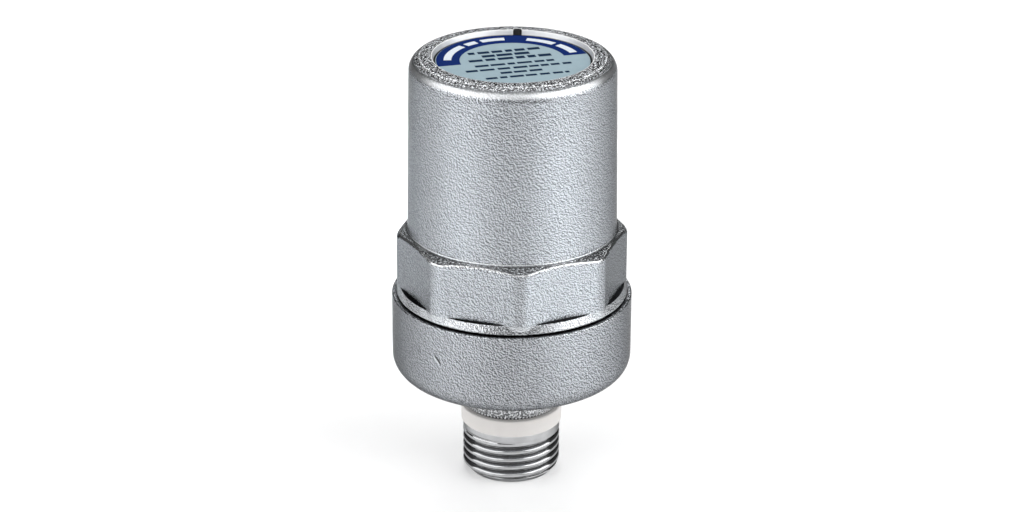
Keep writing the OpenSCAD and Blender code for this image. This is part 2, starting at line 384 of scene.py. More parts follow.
def grid_faces(rows, columns, closed_rows):
    """Four-sided faces of a grid whose columns run all the way round."""
    i, j = np.meshgrid(np.arange(rows if closed_rows else rows - 1), np.arange(columns), indexing="ij")
    k, n = (i + 1) % rows, (j + 1) % columns
    corners = [i * columns + j, i * columns + n, k * columns + n, k * columns + j]
    return np.stack(corners, axis=-1).reshape(-1, 4).tolist()


def skin_values(grid, closed_rows):
    """Wear on edges and shade in corners, for the metal's material."""
    normals = grid_normals(grid, closed_rows)
    outward = 1 if np.einsum("ijk,ijk->ij", normals, grid).mean() > 0 else -1
    raised = convexity(grid, normals * outward, closed_rows)
    return {
        "edge": fade(raised, *RAISED_EDGE),
        "corner": fade(raised, *SUNK_CORNER),
    }


def spin(profile, angles):
    """Grid of points from a profile turned about the axis."""
    r, z = profile[:, :1], profile[:, 1:]
    return np.stack([
        r * np.cos(angles),
        r * np.sin(angles),
        np.broadcast_to(z, (len(profile), len(angles))),
    ], axis=-1)


def set_radius(grid, radius, angles):
    """Move a turned grid's points to other distances from the axis."""
    grid[..., 0] = radius * np.cos(angles)
    grid[..., 1] = radius * np.sin(angles)


def closed_ends(profile, grid):
    """Points and faces of a turned grid whose two ends close on a centre point."""
    rows, columns = grid.shape[:2]
    faces = grid_faces(rows, columns, closed_rows=False)
    first_centre, last_row = rows * columns, (rows - 1) * columns
    for j in range(columns):
        n = (j + 1) % columns
        faces.append((first_centre, n, j))
        faces.append((first_centre + 1, last_row + j, last_row + n))
    centres = [[0, 0, profile[0, 1]], [0, 0, profile[-1, 1]]]
    return np.concatenate([grid.reshape(-1, 3), centres]), faces


# Materials

# Colours that several metals share
# BRIGHT serves wear, speckle and painted highlights, and SHADE is painted shade
BRIGHT = (0.84, 0.85, 0.86)
WORN_BRIGHT = (0.9, 0.9, 0.91)
PIT = (0.03, 0.03, 0.031)
SHADE = (0.02, 0.02, 0.021)
METAL_SHEEN = (0.3, 0.3, 0.3)

# Cast chrome: what wear, speckle, painted highlights and painted shade do, as shares, and lengths in
# millimetres
PEBBLE = {"detail": 0.6, "roughness": 0.5, "distortion": 0.7}
PEBBLE_SHADE_UP = 0.09
PEBBLE_SHADE_TURN = 0.0035
PEBBLE_SHADE_SLOPE = 0.04
WEAR_SMOOTHS = 0.7
WEAR_AND_HIGHLIGHT_BRIGHTEN = 0.7
WEAR_POLISHES = 0.05
SPECKLE_GRAIN = 1.3
SPECKLE_FLATTENS = 0.6
SPECKLE_BRIGHTENS = 0.35
SPECKLE_DEPTH = 0.34
PIT_EDGE = (0.46, 0.52)
PIT_SHARE = 0.95
SHADE_SHARE = 0.95
SOFT_DULLS = 0.17
PATCH_SIZE = 6.0
PATCH_SPREAD = 0.03
NICK_W = 0.62
NICK_DEPTH = 0.1
NICK_HIGHLIGHT_SHARE = 0.5

# Turned chrome and ink
TOOL_MARK = 0.11
TOOL_MARK_DEPTH = 0.006
TURNED_SHADE_SHARE = 0.97
INK_ROUGHNESS = 0.5


class Paint:
    """Node tree of one material, ending in a Principled shader."""

    def __init__(self, name):
        self.material = bpy.data.materials.new(name)
        self.material.use_nodes = True
        self.tree = self.material.node_tree
        self.shader = self.tree.nodes["Principled BSDF"]
        self.place = self.add("ShaderNodeTexCoord").outputs["Object"]

    def add(self, kind, inputs=None, **settings):
        node = self.tree.nodes.new(kind)
        for key, value in settings.items():
            setattr(node, key, value)
        for key, value in (inputs or {}).items():
            self.feed(node.inputs[key], value)
        return node

    def feed(self, socket, value):
        if isinstance(value, bpy.types.NodeSocket):
            self.tree.links.new(value, socket)
        else:
            socket.default_value = value

    def noise(self, size, detail=2.0, roughness=0.5, distortion=0.0, place=None):
        """Noise with grains of about a size in millimetres, from 0 to 1."""
        return self.add("ShaderNodeTexNoise", {
            "Vector": place or self.place,
            "Scale": 1 / (size * MM),
            "Detail": detail,
            "Roughness": roughness,
            "Distortion": distortion,
        }).outputs["Fac"]

    def vector(self, operation, *values):
        node = self.add("ShaderNodeVectorMath", dict(enumerate(values)), operation=operation)
        return node.outputs["Vector"]

    def distance(self, point):
        """Distance from a point given in millimetres."""
        inputs = {0: self.place, 1: Vector(point) * MM}
        return self.add("ShaderNodeVectorMath", inputs, operation="DISTANCE").outputs["Value"]

    def stretch(self, x, y, z):
        """Place in the object, scaled along each axis."""
        return self.vector("MULTIPLY", self.place, (x, y, z))

    def beside(self, up, turn):
        """Place moved up the axis, in millimetres, and round it, in radians."""
        around = self.vector("CROSS_PRODUCT", (0, 0, 1), self.place)
        turned = self.vector("MULTIPLY_ADD", around, (turn, turn, turn), self.place)
        return self.vector("ADD", turned, (0, 0, up * MM))

    def line_mark(self, start, end, width):
        """1 on a line between two points in millimetres, falling to 0 over a thin ellipse round it."""
        around = self.plus(self.distance(start), self.distance(end))
        length = math.dist(start, end)
        return self.ramp(around, length * MM, math.hypot(length, width) * MM, 1.0, 0.0)

    def ramp(self, value, low, high, out_low=0.0, out_high=1.0):
        """Value stretched from one range to another and held inside it."""
        return self.add("ShaderNodeMapRange", {
            "Value": value,
            "From Min": low,
            "From Max": high,
            "To Min": out_low,
            "To Max": out_high,
        }).outputs["Result"]

    def math(self, operation, a, b):
        return self.add("ShaderNodeMath", {0: a, 1: b}, operation=operation).outputs[0]

    def plus(self, a, b):
        return self.math("ADD", a, b)

    def minus(self, a, b):
        return self.math("SUBTRACT", a, b)

    def times(self, a, b):
        return self.math("MULTIPLY", a, b)

    def point_value(self, name):
        return self.add("ShaderNodeAttribute", attribute_name=name).outputs["Fac"]

    def mix(self, share, low, high):
        """Colour between two colours."""
        return self.add("ShaderNodeMix", {
            "Factor": share,
            6: low if isinstance(low, bpy.types.NodeSocket) else (*low, 1),
            7: high if isinstance(high, bpy.types.NodeSocket) else (*high, 1),
        }, data_type="RGBA").outputs[2]

    def bump(self, height, depth):
        """Normal from a height, of which 1 stands for a depth in millimetres."""
        return self.add("ShaderNodeBump", {
            "Height": height,
            "Distance": depth * MM,
            "Strength": 1.0,
        }).outputs["Normal"]

    def finish(self, **sockets):
        for key, value in sockets.items():
            name = key.replace("_", " ").title().replace("Ior", "IOR")
            if isinstance(value, tuple):
                value = (*value, 1)
            self.feed(self.shader.inputs[name], value)
        return self.material


def cast_chrome(name, light, dark, roughness, grain, depth, nick=None):
    """Satin chrome plate over a shot-blasted forging: pebbled skin, edges brightened by wear and by painted
    highlights, and painted shade in corners.

    Grain is the size of the pebbles and depth their height, in millimetres. Each pebble has painted shade on
    one side, found from the same noise a little way off.
    """
    paint = Paint(name)
    coarse, edge = paint.point_value("coarse"), paint.point_value("edge")
    corner, soft = paint.point_value("corner"), paint.point_value("soft")
    outside_wear_and_highlight = paint.minus(1.0, paint.times(edge, WEAR_SMOOTHS))

    pebbles = paint.noise(grain, **PEBBLE)
    # Painted shade on one side of each pebble
    slope = paint.minus(pebbles, paint.noise(grain, **PEBBLE, place=paint.beside(PEBBLE_SHADE_UP, PEBBLE_SHADE_TURN)))
    pebble_shade = paint.times(paint.ramp(slope, -PEBBLE_SHADE_SLOPE, PEBBLE_SHADE_SLOPE), outside_wear_and_highlight)
    pebble_shade = paint.times(pebble_shade, paint.minus(1.0, paint.times(coarse, SPECKLE_FLATTENS)))
    grit = paint.noise(grain * SPECKLE_GRAIN, detail=2.0, roughness=0.6)
    pits = paint.times(paint.ramp(grit, *PIT_EDGE), coarse)

    # Edges brightened by wear and painted highlights, then painted pebble shade, speckle, pits and painted
    # shade in corners
    plate = paint.mix(paint.times(edge, WEAR_AND_HIGHLIGHT_BRIGHTEN), light, BRIGHT)
    plate = paint.mix(pebble_shade, plate, dark)
    plate = paint.mix(paint.times(coarse, SPECKLE_BRIGHTENS), plate, BRIGHT)
    plate = paint.mix(paint.times(pits, PIT_SHARE), plate, PIT)
    plate = paint.mix(paint.times(corner, SHADE_SHARE), plate, SHADE)

    patches = paint.noise(PATCH_SIZE, detail=2)
    dull = paint.ramp(patches, 0.3, 0.7, roughness - PATCH_SPREAD, roughness + PATCH_SPREAD)
    dull = paint.minus(dull, paint.times(edge, WEAR_POLISHES))
    dull = paint.plus(dull, paint.times(soft, SOFT_DULLS))

    height = paint.times(paint.times(pebbles, outside_wear_and_highlight), depth)
    height = paint.minus(height, paint.times(paint.times(grit, coarse), SPECKLE_DEPTH))
    # A nick: a dent with painted shade in it and a painted highlight beside it
    if nick is not None:
        highlight_line, groove_and_shade = (paint.line_mark(*ends, NICK_W) for ends in nick)
        plate = paint.mix(paint.times(highlight_line, NICK_HIGHLIGHT_SHARE), plate, BRIGHT)
        plate = paint.mix(groove_and_shade, plate, PIT)
        height = paint.minus(height, paint.times(groove_and_shade, NICK_DEPTH))
    return paint.finish(
        base_color=plate,
        metallic=1.0,
        roughness=dull,
        specular_tint=METAL_SHEEN,
        normal=paint.bump(height, 1.0),
    )


def turned_chrome(name, light, roughness):
    """Chrome plate over a turned face, with fine tool marks round the axis."""
    paint = Paint(name)
    marks = paint.noise(TOOL_MARK, detail=2, place=paint.stretch(0.02, 0.02, 1.0))
    film = paint.noise(2.5, detail=3)
    plate = paint.mix(paint.ramp(film, 0.35, 0.7), tuple(0.86 * c for c in light), light)
    # Painted shade in corners and thread grooves, and brightening from wear and painted highlights on edges
    plate = paint.mix(paint.times(paint.point_value("corner"), TURNED_SHADE_SHARE), plate, SHADE)
    plate = paint.mix(paint.times(paint.point_value("edge"), WEAR_AND_HIGHLIGHT_BRIGHTEN), plate, WORN_BRIGHT)
    return paint.finish(
        base_color=plate,
        metallic=1.0,
        roughness=paint.ramp(film, 0.3, 0.7, roughness - 0.03, roughness + 0.05),
        specular_tint=METAL_SHEEN,
        normal=paint.bump(marks, TOOL_MARK_DEPTH),
    )


def moulded(name, colour, shade, roughness, grain, depth, specular=0.45):
    """Smooth moulded plastic or rubber with a faint mottle and a fine skin."""
    paint = Paint(name)
    cloud = paint.noise(3.5, detail=4)
    skin = paint.noise(grain, detail=3)
    return paint.finish(
        base_color=paint.mix(paint.ramp(cloud, 0.3, 0.7), shade, colour),
        roughness=paint.ramp(skin, 0.3, 0.7, roughness - 0.06, roughness + 0.06),
        specular_ior_level=specular,
        normal=paint.bump(skin, depth),
    )


def wound_steel(name):
    """Drawn spring wire: dark oiled steel with fine streaks."""
    paint = Paint(name)
    streaks = paint.noise(0.35, detail=3, place=paint.stretch(0.25, 0.25, 1.0))
    oil = paint.noise(4.0, detail=3)
    return paint.finish(
        base_color=paint.mix(paint.ramp(oil, 0.35, 0.65), (0.30, 0.30, 0.32), (0.46, 0.47, 0.49)),
        metallic=1.0,
        roughness=paint.ramp(streaks, 0.3, 0.7, 0.26, 0.42),
        normal=paint.bump(streaks, 0.012),
    )


def printed(name, colour):
    """Printing ink with slightly uneven cover."""
    paint = Paint(name)
    cover = paint.noise(0.5, detail=3)
    return paint.finish(
        base_color=paint.mix(paint.ramp(cover, 0.35, 0.65), tuple(0.9 * c for c in colour), colour),
        roughness=paint.ramp(cover, 0.3, 0.7, INK_ROUGHNESS - 0.05, INK_ROUGHNESS + 0.05),
        specular_ior_level=0.0,
        normal=paint.bump(cover, 0.002),
    )


def wall_point(angle, z):
    """Point on the lower body's wall, at an angle in degrees and a height."""
    a = math.radians(angle)
    return BODY_R * math.cos(a), BODY_R * math.sin(a), z


# Short nick low on the body's wall: a groove with painted shade in it, and a painted highlight beside it
NICK_GROOVE = (wall_point(-110.5, 35.2), wall_point(-106.8, 33.6))
NICK_HIGHLIGHT = (wall_point(-111.2, 34.95), wall_point(-107.5, 33.35))

CAST = cast_chrome(
    "satin_cast_chrome",
    light=(0.515, 0.54, 0.57),
    dark=(0.16, 0.168, 0.178),
    roughness=0.22,
    grain=0.34,
    depth=0.12,
)
CAST_BODY = cast_chrome(
    "satin_body_chrome",
    light=(0.505, 0.525, 0.555),
    dark=(0.112, 0.117, 0.123),
    roughness=0.22,
    grain=0.35,
    depth=0.14,
    nick=(NICK_HIGHLIGHT, NICK_GROOVE),
)
TURNED = turned_chrome("turned_chrome", light=(0.54, 0.545, 0.555), roughness=0.09)
RECESS = turned_chrome("recess_chrome", light=(0.92, 0.925, 0.93), roughness=0.55)
PTFE = moulded(
    "white_seal_ring",
    colour=(0.745, 0.72, 0.70),
    shade=(0.71, 0.685, 0.665),
    roughness=0.5,
    grain=0.4,
    depth=0.008,
)
RUBBER = moulded(
    "black_rubber",
    colour=(0.032, 0.032, 0.034),
    shade=(0.022, 0.022, 0.024),
    roughness=0.55,
    grain=0.3,
    depth=0.012,
)
ACETAL = moulded(
    "piston_acetal",
    colour=(0.78, 0.78, 0.75),
    shade=(0.72, 0.72, 0.69),
    roughness=0.35,
    grain=0.8,
    depth=0.006,
)
STEEL = wound_steel("spring_wire")
FILM = moulded(
    "label_film",
    colour=(0.25, 0.355, 0.405),
    shade=(0.235, 0.33, 0.38),
    roughness=0.42,
    grain=0.9,
    depth=0.003,
    specular=0.1,
)
INK_NAVY = printed("ink_navy", (0.010, 0.026, 0.13))
INK_WHITE = printed("ink_white", (0.70, 0.75, 0.80))
INK_DARK = printed("ink_dark", (0.014, 0.03, 0.06))


# Lower body with its thread


def thread_radius(angles, z):
    """Radius of the 55 degree thread, with rounded crests, at angles and heights."""
    along = (z - THREAD_ROOT_Z - THREAD_PITCH * angles / TURN) % THREAD_PITCH
    off_root = np.minimum(along, THREAD_PITCH - along)
    depth = smooth_max(THREAD_DEPTH - THREAD_SLOPE * off_root, 0.0, THREAD_CREST)
    return THREAD_R - smooth_min(depth, THREAD_DEPTH - THREAD_ROOT, THREAD_ROOT)


def tip_radius(z):
    """Radius of the cone that leads into the thread."""
    return TIP_R + z * (THREAD_R - TIP_R) / TIP_H


def lower_body_profile():
    """Rows down the inlet and round the tip, up the thread, up the outside, and down the socket."""
    rim_r = (BODY_R + JOINT_SEAT_R) / 2
    inlet_edge_r, groove_fillet_r, neck_foot_r, edge_break = 0.15, 0.1, 0.08, 0.03
    inlet_and_tip = rounded([
        (INLET_R, FLOOR_Z, 0),
        (INLET_R, INLET_CHAMFER, inlet_edge_r),
        (INLET_R + INLET_CHAMFER, 0, inlet_edge_r),
        (TIP_R, 0, MACHINED_R),
        (tip_radius(TIP_EDGE_H), TIP_EDGE_H, 0),
    ], longest=6)
    thread_z = np.arange(THREAD_FROM_Z, RING_Z - THREAD_ROW / 2, THREAD_ROW)
    thread = np.column_stack([np.minimum(THREAD_R, tip_radius(thread_z)), thread_z])
    outside = rounded([
        (THREAD_R, RING_Z - edge_break, 0),
        (THREAD_R - edge_break, RING_Z, 0),
        (RING_GROOVE_R, RING_Z, groove_fillet_r),
        (RING_GROOVE_R, RING_TOP_Z, groove_fillet_r),
        (NECK_R, RING_TOP_Z, neck_foot_r),
        (NECK_R, RING_TOP_Z + 0.6 * NECK_NOTCH_H, 0),
        (NECK_R, RING_TOP_Z + NECK_NOTCH_H, 0),
        (NECK_R, UNDERSIDE_Z, NECK_FILLET_R),
        (BODY_R, BODY_Z, BODY_CORNER_R),
        (BODY_R, RIM_Z, BODY_RIM_R),
        (rim_r, RIM_Z, 0),
    ], steps=8, longest=1.1)
    socket = rounded([
        (rim_r, RIM_Z, 0),
        (JOINT_SEAT_R, RIM_Z, MACHINED_R),
        (JOINT_SEAT_R, JOINT_SEAT_Z, MACHINED_R),
        (JOINT_R, JOINT_SEAT_Z, MACHINED_R),
        (JOINT_R, JOINT_END_Z, MACHINED_R),
        (CHAMBER_R, JOINT_END_Z, MACHINED_R),
        (CHAMBER_R, FLOOR_Z, CHAMBER_FILLET_R),
        (INLET_R + 0.5, FLOOR_Z, 0),
    ], steps=3, longest=6)
    return inlet_and_tip, thread, outside, socket[1:]


def lower_body_shell():
    """Lower body as one turned grid, with its thread, notches, wear, painted shade and painted highlights.
    """
    columns = NECK_NOTCHES * COLUMNS_PER_NOTCH
    angles = np.arange(columns) * TURN / columns
    stretches = lower_body_profile()
    profile = np.concatenate(stretches)
    r, z = profile[:, 0], profile[:, 1]
    first = len(stretches[0])
    last = first + len(stretches[1])
    above_thread = np.arange(len(profile)) >= last
    grid = spin(profile, angles)
    radius = np.repeat(profile[:, :1], columns, axis=1)

    # Thread, running out below the seal ring
    thread_z = z[first:last, None]
    runout = fade(thread_z, THREAD_END_Z, THREAD_END_Z + THREAD_RUNOUT)
    cut = thread_radius(angles, thread_z)
    cut = cut + (THREAD_R - cut) * runout
    radius[first:last] = smooth_min(radius[first:last], cut, THREAD_BLEND)

    # Notches round the neck's foot
    notch_top_z = RING_TOP_Z + NECK_NOTCH_H
    on_neck = above_thread & (np.abs(r - NECK_R) < NECK_NEAR_R) & (z < notch_top_z)
    on_neck &= z > RING_TOP_Z - NECK_NEAR_Z
    tooth = np.clip(np.cos(angles * NECK_NOTCHES + TURN / 8) * NECK_NOTCH_SHARPNESS, 0, 1)
    radius[on_neck] -= NECK_NOTCH_DEPTH * tooth * np.sqrt(fade(z[on_neck, None], notch_top_z, RING_TOP_Z))

    # Forged skin of the neck, underside, wall and rim
    in_socket = (r < BODY_R - SOCKET_RIM_W) & (z > SOCKET_LOW_Z)
    cast = above_thread & (z > RING_TOP_Z + FORGED_MARGIN) & (r > NECK_R - FORGED_MARGIN) & ~in_socket
    radius += np.where(cast[:, None], ripple(grid, BODY_SEED, *FORGED), 0)
    set_radius(grid, radius, angles)

    # Wear, painted shade in the joint, notches and thread grooves, and painted highlight on the neck
    values = skin_values(grid, closed_rows=True)
    joint_r = BODY_R - 0.8 * BODY_RIM_R
    joint = fade(r, joint_r, joint_r - JOINT_SHADE / 2) * (z >= RIM_Z - BODY_RIM_R)
    plain = cast & (z < PLAIN_WALL_Z)
    neck = (cast * fade(z, *NECK_SPECKLE_Z))[:, None]
    values["corner"] = np.maximum(values["corner"], joint[:, None]) * ~plain[:, None]
    values["corner"][on_neck] = tooth
    thread_shade = THREAD_SHADE_RISE * (THREAD_R - cut) / THREAD_DEPTH
    values["corner"][first:last] = np.clip(thread_shade, 0, THREAD_SHADE_MOST)
    values["edge"] = np.maximum(values["edge"] * ((joint == 0) & ~plain)[:, None], NECK_HIGHLIGHT * neck)
    values["edge"][on_neck] = 1 - tooth
    values["coarse"] = np.repeat(NECK_SPECKLE * neck, columns, axis=1)
    values["coarse"][on_neck] = 0

    faces = grid_faces(len(profile), columns, closed_rows=True)
    zone = np.repeat(np.where(cast, 0, 1), columns)
    piece = make_piece("lower_body_shell", grid.reshape(-1, 3), faces, [CAST_BODY, TURNED], zone, values)
    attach(piece, "housing")
    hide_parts("lower_body")


# Cap: barrel, octagon, collar and skirt


def octagon_radius(angles):
    """Distance from the axis to the octagon's outline, with its corners rounded."""
    side = TURN / 8
    off_flat = (angles + side / 2) % side - side / 2
    off_corner = side / 2 - np.abs(off_flat)
    flat = OCTAGON_R / np.cos(off_flat)
    centre_r = (OCTAGON_R - OCTAGON_CORNER_R) / math.cos(side / 2)
    across = np.clip(OCTAGON_CORNER_R**2 - (centre_r * np.sin(off_corner)) ** 2, 0, None)
    arc = centre_r * np.cos(off_corner) + np.sqrt(across)
    flat_half = math.atan((OCTAGON_R - OCTAGON_CORNER_R) * math.tan(side / 2) / OCTAGON_R)
    return np.where(np.abs(off_flat) < flat_half, flat, arc)


def shoulder_radius(z):
    """Radius of the cone that takes off the octagon's upper corners."""
    return OCTAGON_R - (z - OCTAGON_TOP_Z) * SHOULDER_RUN


def cap_outside_radius(angles, z):
    """Radius of the cap's outside between the rim of the lower body and the barrel's top edge."""
    chamfer = COLLAR_R - COLLAR_CHAMFER + (z - RIM_Z)
    collar_h = LEDGE_Z - RIM_Z - COLLAR_CHAMFER
    taper = COLLAR_R - (z - RIM_Z - COLLAR_CHAMFER) * (COLLAR_R - LEDGE_R) / collar_h
    ledge = LEDGE_R - (z - LEDGE_Z) * LEDGE_FALL
    collar = smooth_min(smooth_min(chamfer, taper, COLLAR_EDGE), ledge, LEDGE_EDGE)
    octagon = smooth_min(octagon_radius(angles), OCTAGON_LIMIT_R, OCTAGON_LIMIT_EDGE)
    octagon = smooth_min(octagon, shoulder_radius(z), OCTAGON_EDGE)
    barrel_h = TOP_Z - BARREL_EDGE_R - BARREL_FOOT_Z
    barrel = BARREL_FOOT_R - (z - BARREL_FOOT_Z) * (BARREL_FOOT_R - BARREL_TOP_R) / barrel_h
    return smooth_max(smooth_max(octagon, collar, COLLAR_FILLET), barrel, FOOT_FILLET)


def notch_cut(angles):
    """How far the lifting notch cuts into the wall of the label's recess."""
    off_notch = (angles - NOTCH_ANGLE + math.pi) % TURN - math.pi
    across = np.clip(NOTCH_R**2 - (RECESS_R * np.sin(off_notch)) ** 2, 0, None)
    depth = RECESS_R * np.cos(off_notch) + np.sqrt(across) - RECESS_R
    return np.where(np.abs(off_notch) < NOTCH_HALF, depth, 0)


def cap_profile():
    """Rows from the boss inside, down the bore and skirt, up the outside, and over the rim to the recess."""
    boss_edge_r, boss_foot_r, lead_in_r = 0.5, 0.6, 0.4
    skirt_inner_r, skirt_outer_r, seat_r, seat_gap = 0.15, 0.3, 0.15, 0.08
    edge_lead, edge_end = 0.25, 0.2
    inside = rounded([
        (CAP_CENTRE_R, CEILING_Z - BOSS_H, 0),
        (BOSS_R, CEILING_Z - BOSS_H, boss_edge_r),
        (BOSS_R, CEILING_Z, boss_foot_r),
        (BORE_R, CEILING_Z, CEILING_FILLET_R),
        (BORE_R, SKIRT_Z + LEAD_IN_H, lead_in_r),
        (BORE_R + LEAD_IN_W, SKIRT_Z, skirt_inner_r),
        (SKIRT_R, SKIRT_Z, skirt_outer_r),
        (SKIRT_R, RIM_Z, seat_r),
        (COLLAR_R - COLLAR_CHAMFER - seat_gap, RIM_Z, 0),
    ], steps=4, longest=9)
    collar_rows = RIM_Z + np.array([0.05, 0.15, 0.28, 0.38, 0.45, 0.52, 0.65, 0.9, 1.2, 1.5, 1.72])
    ledge_rows = LEDGE_Z + np.arange(-0.24, 0.26, 0.035)
    flat_rows = LEDGE_Z + np.array([0.3, 0.4, 0.6, 0.9, 1.4, 2.0, 3.2, 4.4, 5.6, 6.8, 8.0, 9.0, 9.8, 10.3])
    shoulder_rows = OCTAGON_TOP_Z + np.arange(-1.6, 0.95, 0.07)
    foot_rows = OCTAGON_TOP_Z + np.array([1.0, 1.15, 1.4, 1.8, 2.4])
    barrel_rows = np.arange(OCTAGON_TOP_Z + 3.2, TOP_Z - BARREL_EDGE_R - 0.5, 0.95)
    outside_z = np.concatenate([collar_rows, ledge_rows, flat_rows, shoulder_rows, foot_rows, barrel_rows])
    outside = np.column_stack([np.full(len(outside_z), BARREL_TOP_R), outside_z])
    top = rounded([
        (BARREL_TOP_R, TOP_Z - BARREL_EDGE_R - edge_lead, 0),
        (BARREL_TOP_R, TOP_Z, BARREL_EDGE_R),
        (BARREL_TOP_R - BARREL_EDGE_R - edge_end, TOP_Z, 0),
        (RECESS_R + RECESS_FLARE, TOP_Z, RECESS_LIP_R),
        (RECESS_R + 0.25 * RECESS_FLARE, RECESS_Z + 0.25 * (TOP_Z - RECESS_Z), 0),
        (RECESS_R, RECESS_Z, RECESS_CORNER_R),
        (CAP_CENTRE_R, RECESS_Z, 0),
    ], steps=10, longest=2.6)
    return inside, outside, top


def cap_skin(grid, radius, angles, on_outside, on_top):
    """Wear, painted shade and highlights, speckle and sheen of the cap's outside, from the body joint up to
    the rim.
    """
    z = grid[..., 2]
    octagon = octagon_radius(angles)
    values = skin_values(grid, closed_rows=False)

    # Painted shade in the body joint, and painted slits of shade between the collar and the octagon's flats
    near_joint = np.roll(on_outside, -2, axis=0) | on_outside
    joint = near_joint * fade(z, RIM_Z + JOINT_SHADE, RIM_Z + JOINT_SHADE / 2)
    between = (radius > octagon - LEDGE_SHADE_MARGIN_IN) & (radius < LEDGE_R - LEDGE_SHADE_MARGIN_OUT)
    ledge_shade = between * fade(LEDGE_R - octagon, *LEDGE_SHADE_DEPTH) * (np.abs(z - LEDGE_Z) < LEDGE_SHADE_HALF_H)

    # Painted highlight and shade at the barrel's foot, and a painted highlight on the octagon's upper edge
    foot_highlight = on_outside * band(z - BARREL_FOOT_Z, *FOOT_LINE)
    foot_shade = on_outside * band(z - BARREL_FOOT_Z, *FOOT_SHADE)
    to_edge = np.minimum(octagon, OCTAGON_LIMIT_R) - shoulder_radius(z)
    top_edge_highlight = on_outside * band(to_edge, *TOP_EDGE) * (z < TOP_EDGE_END_Z)

    # Rim, with a painted highlight line, and the barrel's rounded edge, with wear and a painted highlight
    rim_highlight = RIM_HIGHLIGHT_SHARE * on_top * band(radius, *RIM_LINE)
    rim_speckle = on_top * fade(radius, *RIM_SPECKLE_R) * (z > TOP_Z - RIM_SPECKLE_H)
    edge_wear_and_highlight = on_top * fade(radius, *EDGE_WEAR_AND_HIGHLIGHT_R) * fade(z, *EDGE_WEAR_AND_HIGHLIGHT_Z)

    low = z < LOW_SKIN_Z
    corner = np.where(joint > 0, np.maximum(values["corner"], joint), values["corner"] * low)
    corner = np.maximum(corner, np.maximum(ledge_shade, FOOT_SHADE_SHARE * foot_shade))
    edge = np.where((joint > 0) | (on_outside & ~low), 0, values["edge"])
    edge = np.maximum(edge, np.maximum(FOOT_HIGHLIGHT_SHARE * foot_highlight, top_edge_highlight))
    # Painted highlight on the collar
    on_collar = on_outside & (z > RIM_Z + COLLAR_CHAMFER) & (z < LEDGE_Z)
    edge = np.where(on_collar, np.maximum(edge, COLLAR_HIGHLIGHT), edge)
    upward = fade(np.abs(grid_normals(grid, closed_rows=False)[..., 2]), *FACING_UP)
    shoulder_speckle = SHOULDER_SPECKLE * upward * (1 - np.maximum(foot_highlight, top_edge_highlight))
    on_shoulder = (z > SHOULDER_Z[0]) & (z < SHOULDER_Z[1])
    return {
        "corner": corner,
        "edge": np.where(on_top, np.maximum(edge_wear_and_highlight, rim_highlight), edge),
        "coarse": np.where(on_shoulder, shoulder_speckle, rim_speckle * (1 - rim_highlight)),
        "soft": edge_wear_and_highlight,
    }


def cap_shell():
    """Cap as one turned grid, with its octagon, recess, notch, wear, painted shade and painted highlights.
    """
    across_notch = np.linspace(-RECESS_NOTCH_SPAN, RECESS_NOTCH_SPAN, RECESS_NOTCH_COLUMNS)
    angles = np.sort(np.concatenate([
        np.arange(CAP_COLUMNS) * TURN / CAP_COLUMNS,
        NOTCH_ANGLE + across_notch * NOTCH_HALF + COLUMN_SHIFT,
    ]))
    columns = len(angles)
    inside, outside, top = cap_profile()
    profile = np.concatenate([inside, outside, top])
    r, z = profile[:, :1], profile[:, 1:]
    first = len(inside)
    last = first + len(outside)
    row = np.arange(len(profile))[:, None]
    on_outside = (row >= first) & (row < last)
    on_top = row >= last
    grid = spin(profile, angles)
    radius = np.repeat(r, columns, axis=1)
    radius[first:last] = cap_outside_radius(angles, z[first:last])

    # Notch in the wall of the label's recess
    off_wall = r - RECESS_R
    wall = on_top & (off_wall > -RECESS_INNER_W) & (off_wall < RECESS_FLARE + NOTCH_FADE)
    cut = notch_cut(angles)
    radius += wall * fade(off_wall, RECESS_FLARE + NOTCH_FADE, RECESS_FLARE) * cut

    # Forged skin of the outside and the rim
    cast = on_outside | (on_top & (r > RECESS_R + RECESS_FLARE))
    radius += np.where(cast, ripple(grid, CAP_SEED, *FORGED), 0)
    set_radius(grid, radius, angles)

    values = cap_skin(grid, radius, angles, on_outside, on_top)
    # Painted shade in the lifting notch, and under the label
    notch_shade = wall * (off_wall < RECESS_FLARE + NOTCH_SHADE_W) * fade(cut, 0, NOTCH_R / 3)
    under_label = on_top & (off_wall < RECESS_FLARE) & (z < RECESS_Z + UNDER_LABEL_H)
    values["corner"] = np.where(under_label, 1, np.maximum(values["corner"], notch_shade))
    values["edge"] = np.where(under_label, 0, values["edge"])

    zone = np.where(cast, 0, 1)
    zone[wall & (off_wall < RECESS_FLARE + RECESS_RIM_W)] = 2
    face_zone = np.concatenate([np.repeat(zone[:-1, 0], columns), np.ones(2 * columns, int)])
    vertices, faces = closed_ends(profile, grid)
    values = {key: np.append(value.ravel(), [0, 0]) for key, value in values.items()}
    piece = make_piece("cap_shell", vertices, faces, [CAST, TURNED, RECESS], face_zone, values)
    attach(piece, "housing")
    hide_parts("cap")


# Seal ring, spring and label


